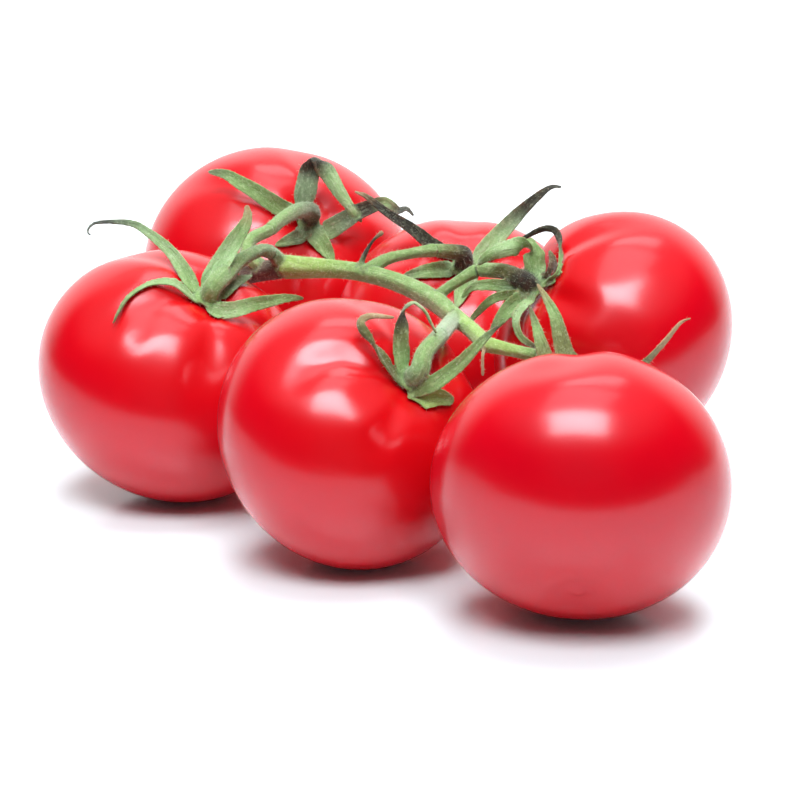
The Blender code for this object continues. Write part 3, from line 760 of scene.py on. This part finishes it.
def fuse(name, growth, hub=None):
    """Fuse the bodies of a growth into one smooth skin that keeps their colours."""
    rough = bpy.data.meshes.new("rough")
    rough.from_pydata([tuple(spot) for spot in growth.spots], [], growth.faces)
    shape = bmesh.new()
    shape.from_mesh(rough)
    bmesh.ops.recalc_face_normals(shape, faces=shape.faces)
    shape.to_mesh(rough)
    shape.free()
    holder = bpy.data.objects.new("rough", rough)
    bpy.context.scene.collection.objects.link(holder)
    remesh = holder.modifiers.new("fused", "REMESH")
    remesh.mode = "VOXEL"
    remesh.voxel_size = FINE
    holder.data = evaluated_mesh(holder)
    holder.modifiers.clear()
    mesh = holder.data
    shape = bmesh.new()
    shape.from_mesh(mesh)
    if hub is not None:
        for reach in (HUB, HUB * HUB_INNER):
            near = [vert for vert in shape.verts if (vert.co - hub).length < reach]
            for _ in range(HUB_ROUNDS):
                relax(shape, near, 0.5)
    relax(shape, shape.verts, 0.4)
    shape.to_mesh(mesh)
    shape.free()
    fewer = holder.modifiers.new("fewer", "DECIMATE")
    fewer.ratio = KEEP
    mesh = evaluated_mesh(holder)
    bpy.data.objects.remove(holder)
    tree = KDTree(len(growth.spots))
    for index, spot in enumerate(growth.spots):
        tree.insert(spot, index)
    tree.balance()
    tints, flows, edges = [], [], []
    for vert in mesh.vertices:
        near = [index for _, index, _ in tree.find_n(vert.co, NEAREST)]
        mixed = sum((growth.tints[index] for index in near), Vector((0, 0, 0))) / len(near)
        tints.extend((*mixed, 1))
        flows.extend(growth.flows[near[0]])
        edges.append(growth.edges[near[0]])
    # The tint attribute carries the painted light and shade of the palette with the greens' own
    # colours.
    mesh.attributes.new("tint", "FLOAT_COLOR", "POINT").data.foreach_set("color", tints)
    mesh.attributes.new("flow", "FLOAT_VECTOR", "POINT").data.foreach_set("vector", flows)
    mesh.attributes.new("edge", "FLOAT", "POINT").data.foreach_set("value", edges)
    mesh.transform(Matrix.Scale(MM, 4))
    mesh.shade_smooth()
    mesh.name = name
    return mesh


def add_piece(name, mesh, finish, node=None):
    """Link a mesh as a piece of the truss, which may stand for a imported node."""
    made = bpy.data.objects.new(name, mesh)
    mesh.materials.append(finish)
    bpy.context.scene.collection.objects.link(made)
    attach(made, "root")
    if node is not None:
        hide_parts(node)
    return made


def skin_point(fruit, swells, look, polar, around):
    """A point of the skin with its swells, in mm in the truss."""
    spot = skin(fruit, polar, around, look.groove)
    swell = sin(2 * around + fruit.groove) + 0.6 * sin(3 * around + fruit.x)
    swell *= look.swell * sin(polar) ** 2
    for at, turn, along, across, height in swells:
        off = (around - radians(turn) + pi) % (2 * pi) - pi
        off *= sin(polar)
        swell += height * exp(-((polar - radians(at)) / radians(along)) ** 2
                              - (off / radians(across)) ** 2)
    spot = place(fruit) @ (spot + spot.normalized() * swell)
    if fruit.lift == 0:
        spot.z = max(spot.z, 0)
    return spot


def skin_mesh(name, fruit, swells, look):
    """The fruit's skin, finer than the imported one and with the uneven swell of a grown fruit."""
    rings = [[(pi * row / ALONG, 2 * pi * turn / AROUND - pi) for turn in range(AROUND)]
             for row in range(1, ALONG)]
    angles = [(0, 0)] + [pair for ring in rings for pair in ring] + [(pi, 0)]
    spots = [skin_point(fruit, swells, look, *pair) * MM for pair in angles]
    last = len(spots) - 1
    faces = []
    for turn in range(AROUND):
        after = (turn + 1) % AROUND
        faces.append((0, 1 + turn, 1 + after))
        for low in range(1, last - AROUND, AROUND):
            high = low + AROUND
            faces.append((low + turn, high + turn, high + after, low + after))
        faces.append((last, last - AROUND + after, last - AROUND + turn))
    mesh = bpy.data.meshes.new(name)
    mesh.from_pydata([tuple(spot) for spot in spots], [], faces)
    ends = [0.5 + 0.5 * cos(polar) for polar, _ in angles]
    mesh.attributes.new("stem_end", "FLOAT", "POINT").data.foreach_set("value", ends)
    mesh.shade_smooth()
    return mesh


def hair_mesh(name, mesh, look, seed):
    """Short tapered hairs standing on a mesh."""
    rng = np.random.default_rng(seed)
    faces = mesh.polygons
    areas = np.array([face.area for face in faces])
    count = int(areas.sum() * 1e4 * look.hairs)
    picks = rng.choice(len(faces), count, p=areas / areas.sum())
    spots, tris = [], []
    for pick in picks:
        face = faces[int(pick)]
        lean = Vector(rng.normal(0, 0.45, 3))
        way = (face.normal + lean).normalized()
        side = way.orthogonal().normalized()
        up = way.cross(side)
        long = look.hair_length * rng.uniform(0.35, 1.0)
        base = face.center - way * look.hair_width
        first = len(spots)
        for turn in range(3):
            angle = 2 * pi * turn / 3
            spots.append(base + (side * cos(angle) + up * sin(angle)) * look.hair_width / 2)
        spots.append(base + way * long)
        tris += [(first, first + 1, first + 3), (first + 1, first + 2, first + 3),
                 (first + 2, first, first + 3), (first + 2, first + 1, first)]
    made = bpy.data.meshes.new(name)
    made.from_pydata([tuple(spot) for spot in spots], [], tris)
    return made


def stalk_route(points):
    return [(from_view(*spot[:3]), spot[3]) for spot in points]


def stalk_joint(name):
    """The place, direction and radius of the joint in a fruit's stalk."""
    before, joint = stalk_route(NEAR_STALKS[name][1])[-2:]
    after = stalk_route(FAR_STALKS[name][1])[0]
    return joint[0], (after[0] - before[0]).normalized(), joint[1]


# Sizes and colours that a user would change

class TrussFleshLook(PropertyGroup):
    """The fruits' skin."""

    flesh: FloatVectorProperty(name="Flesh", description="Main red of the skin",
                               subtype="COLOR", size=3, min=0, max=1,
                               default=(0.61, 0.0004, 0.008))
    deep: FloatVectorProperty(name="Deep red", description="Darker red of the skin's patches",
                              subtype="COLOR", size=3, min=0, max=1,
                              default=(0.53, 0.0, 0.009))
    shoulder: FloatVectorProperty(name="Shoulder", description="Red round the stem end",
                                  subtype="COLOR", size=3, min=0, max=1,
                                  default=(0.56, 0.002, 0.004))
    roughness: FloatProperty(name="Roughness", description="How dull the skin is",
                             default=0.22, min=0, max=1, subtype="FACTOR")
    groove: FloatProperty(name="Groove", description="Depth of the shoulder's grooves in mm",
                          default=1.3, min=0, max=3)
    swell: FloatProperty(name="Swell", description="Uneven swell of the skin in mm",
                         default=0.25, min=0, max=2)


class TrussGreenLook(PropertyGroup):
    """The calyces and the stem."""

    bloom: FloatVectorProperty(name="Bloom", description="Pale green that the hairs give",
                               subtype="COLOR", size=3, min=0, max=1,
                               default=(0.50, 0.62, 0.42))
    hair: FloatVectorProperty(name="Hair", description="Colour of the hairs",
                              subtype="COLOR", size=3, min=0, max=1,
                              default=(0.75, 0.78, 0.62))
    hairs: FloatProperty(name="Hairs", description="Hairs to a square centimetre",
                         default=150, min=0, max=400)
    hair_length: FloatProperty(name="Hair length", description="Longest hair",
                               default=0.001, min=0, max=0.01, unit="LENGTH", precision=4)
    hair_width: FloatProperty(name="Hair width", description="Width of a hair at its foot",
                              default=0.00006, min=0, max=0.001, unit="LENGTH", precision=5)


class TrussStageLook(PropertyGroup):
    """The floor, the lights and the surroundings."""

    # The floor colour's bluish tint is painted cool light, which tints the shadows near the fruits.
    floor: FloatVectorProperty(name="Floor", description="Colour of the floor",
                               subtype="COLOR", size=3, min=0, max=1,
                               default=(0.82, 0.95, 0.99))
    floor_far: FloatVectorProperty(name="Far floor", description="Colour of the floor further out",
                                   subtype="COLOR", size=3, min=0, max=1,
                                   default=(0.97, 0.98, 0.99))
    key: FloatProperty(name="Key light", description="Radiance of the box that the skin mirrors",
                       default=14.0, min=0)
    glow: FloatProperty(name="Glow", description="Radiance of the wide light overhead",
                        default=1.8, min=0)
    back: FloatProperty(name="Back light", description="Radiance of the light above the back",
                        default=3.0, min=0)
    front: FloatProperty(name="Front light", description="Radiance of the light above the front",
                         default=11.5, min=0)
    top: FloatProperty(name="Top light", description="Radiance of the light from above",
                       default=8.5, min=0)
    fill: FloatProperty(name="Fill light", description="Radiance of the low light at the front",
                        default=0.6, min=0)
    around: FloatProperty(name="Surroundings", description="Radiance of the white wall behind",
                          default=1.5, min=0)


# Operators

class TRUSS_OT_tomatoes(Operator):
    """Build the six fruits"""

    bl_idname = "truss.tomatoes"
    bl_label = "Tomatoes"

    def execute(self, context):
        look = context.scene.truss_flesh
        finish = flesh_finish(look)
        for name, fruit in FRUITS.items():
            mesh = skin_mesh("skin_" + name, fruit, SWELLS[name], look)
            add_piece("skin_" + name, mesh, finish, "tomato_" + name)
        return {"FINISHED"}


class TRUSS_OT_calyces(Operator):
    """Build the six calyces, each with its sepals and its piece of stalk"""

    bl_idname = "truss.calyces"
    bl_label = "Calyces"

    def execute(self, context):
        look = context.scene.truss_green
        finish = green_finish("leaf", look, 2.2)
        for name, fruit in FRUITS.items():
            growth = Growth()
            add_disc(growth, fruit, "leaf")
            for number, sepal in enumerate(SEPALS[name]):
                add_blade(growth, sepal, number, fruit)
            joint, ahead, radius = stalk_joint(name)
            words, spots = FAR_STALKS[name]
            middle = calyx_middle(fruit)
            rise = middle + stem_axis(fruit) * STALK_RISE
            start = [(joint + ahead * 0.1, radius), (joint + ahead * KNOT, radius * 0.95)]
            ends = [(rise, STALK_END), (middle, STALK_END)]
            add_stalk(growth, start + stalk_route(spots) + ends, words, (joint,))
            mesh = fuse("leaves_" + name, growth, middle)
            add_piece("leaves_" + name, mesh, finish, "calyx_" + name)
        return {"FINISHED"}


class TRUSS_OT_stem(Operator):
    """Build the main stalk with its branches"""

    bl_idname = "truss.stem"
    bl_label = "Stem"

    def execute(self, context):
        look = context.scene.truss_green
        growth = Growth()
        for number, (words, spots) in enumerate(MAIN):
            add_stalk(growth, stalk_route(spots), words, (), number)
        for number, name in enumerate(FRUITS):
            words, spots = NEAR_STALKS[name]
            joint, ahead, radius = stalk_joint(name)
            ends = [(joint - ahead * KNOT, radius * 0.92), (joint, radius)]
            add_stalk(growth, stalk_route(spots)[:-1] + ends, words, (joint,), 3 + number)
        mesh = fuse("stalks", growth)
        add_piece("stalks", mesh, green_finish("stalk", look, 1.0), "stem")
        return {"FINISHED"}


class TRUSS_OT_hairs(Operator):
    """Cover the stem and the calyces with fine hairs"""

    bl_idname = "truss.hairs"
    bl_label = "Hairs"

    def execute(self, context):
        look = context.scene.truss_green
        finish = hair_finish(look)
        pieces = ["stalks"] + ["leaves_" + name for name in FRUITS]
        for seed, name in enumerate(pieces):
            mesh = hair_mesh("hairs_" + name, bpy.data.objects[name].data, look, seed)
            slot = "stem" if name == "stalks" else "calyx"
            add_piece("hairs_" + name, mesh, finish)
        return {"FINISHED"}


class TRUSS_OT_stage(Operator):
    """Lay the floor and set the lights, the surroundings and the camera"""

    bl_idname = "truss.stage"
    bl_label = "Stage"

    def execute(self, context):
        look = context.scene.truss_stage
        floor(look)
        for name, box in SOFT_BOXES.items():
            soft_light(name, box, getattr(look, name))
        surroundings(look)
        camera()
        context.scene.view_settings.view_transform = "Standard"
        return {"FINISHED"}


def floor(look):
    """A large pale sheet under the fruits, which ends a little in front of them."""
    corners = [(-SHEET, -SHEET_FRONT, 0), (SHEET, -SHEET_FRONT, 0), (SHEET, SHEET, 0),
               (-SHEET, SHEET, 0)]
    mesh = bpy.data.meshes.new("floor")
    mesh.from_pydata(corners, [], [(0, 1, 2, 3)])
    made = bpy.data.objects.new("floor", mesh)
    mesh.materials.append(floor_finish(look))
    bpy.context.scene.collection.objects.link(made)


def soft_light(name, box, radiance):
    """A soft box that faces the truss, and may only light it or only be seen in its skin."""
    light = bpy.data.lights.new(name, "AREA")
    light.shape = "RECTANGLE"
    light.size = box.width
    light.size_y = box.height
    light.energy = radiance * pi * box.width * box.height
    light.color = LAMP
    made = bpy.data.objects.new(name, light)
    spot = Vector(box.way).normalized()
    made.location = spot * box.distance
    made.rotation_euler = spot.to_track_quat("Z", "Y").to_euler()
    made.visible_diffuse = box.lights
    made.visible_glossy = box.mirrored
    bpy.context.scene.collection.objects.link(made)


def surroundings(look):
    """A white wall behind, a grey ceiling, and a dark room at the sides and the front."""
    world = bpy.data.worlds.new("studio")
    world.use_nodes = True
    world.node_tree.nodes.clear()
    nodes = Nodes(world.node_tree)
    way = nodes.node("ShaderNodeTexCoord", {}, {}, "Generated")
    behind = nodes.node("ShaderNodeSeparateXYZ", {}, {0: way}, "Y").band(WALL_FROM, WALL_TO)
    above = nodes.node("ShaderNodeSeparateXYZ", {}, {0: way}, "Z").band(CEILING_FROM, CEILING_TO)
    walls = ROOM + behind * (look.around - ROOM)
    lit = walls + above * (CEILING * look.around - walls)
    seen = nodes.node("ShaderNodeLightPath", {}, {}, "Is Camera Ray")
    shine = nodes.node("ShaderNodeBackground", {}, {"Strength": lit + seen * (BACKDROP - lit)})
    nodes.node("ShaderNodeOutputWorld", {}, {"Surface": shine}, None)
    bpy.context.scene.world = world


def camera():
    """The camera, in front of the truss and a little above it."""
    lens = bpy.data.cameras.new("camera")
    lens.sensor_width = SENSOR
    lens.lens = LENS
    lens.clip_start = 0.05
    made = bpy.data.objects.new("camera", lens)
    made.location = Vector(CAMERA) * MM
    made.rotation_euler = (radians(90 - VIEW_DOWN), 0, 0)
    bpy.context.scene.collection.objects.link(made)
    bpy.context.scene.camera = made


class TRUSS_PT_panel(Panel):
    """Lists the steps and the sizes and colours of the truss"""

    bl_label = "Tomato truss"
    bl_idname = "TRUSS_PT_panel"
    bl_space_type = "VIEW_3D"
    bl_region_type = "UI"
    bl_category = "Tomato truss"

    def draw(self, context):
        for group in LOOKS:
            box = self.layout.box()
            look = getattr(context.scene, group)
            for name in look.bl_rna.properties.keys():
                if name not in ("rna_type", "name"):
                    box.prop(look, name)
        for step in STEPS:
            self.layout.operator(step.bl_idname)


LOOKS = {
    "truss_flesh": TrussFleshLook,
    "truss_green": TrussGreenLook,
    "truss_stage": TrussStageLook,
}
STEPS = (TRUSS_OT_stage, TRUSS_OT_tomatoes, TRUSS_OT_calyces, TRUSS_OT_stem, TRUSS_OT_hairs)


def register():
    for made in (*LOOKS.values(), *STEPS, TRUSS_PT_panel):
        bpy.utils.register_class(made)
    for name, group in LOOKS.items():
        setattr(bpy.types.Scene, name, PointerProperty(type=group))


def unregister():
    for name in LOOKS:
        delattr(bpy.types.Scene, name)
    for made in (TRUSS_PT_panel, *STEPS, *LOOKS.values()):
        bpy.utils.unregister_class(made)


def main():
    register()
    bpy.ops.truss.stage()
    bpy.ops.truss.tomatoes()
    bpy.ops.truss.calyces()
    bpy.ops.truss.stem()
    bpy.ops.truss.hairs()


if __name__ == "__main__":
    main()
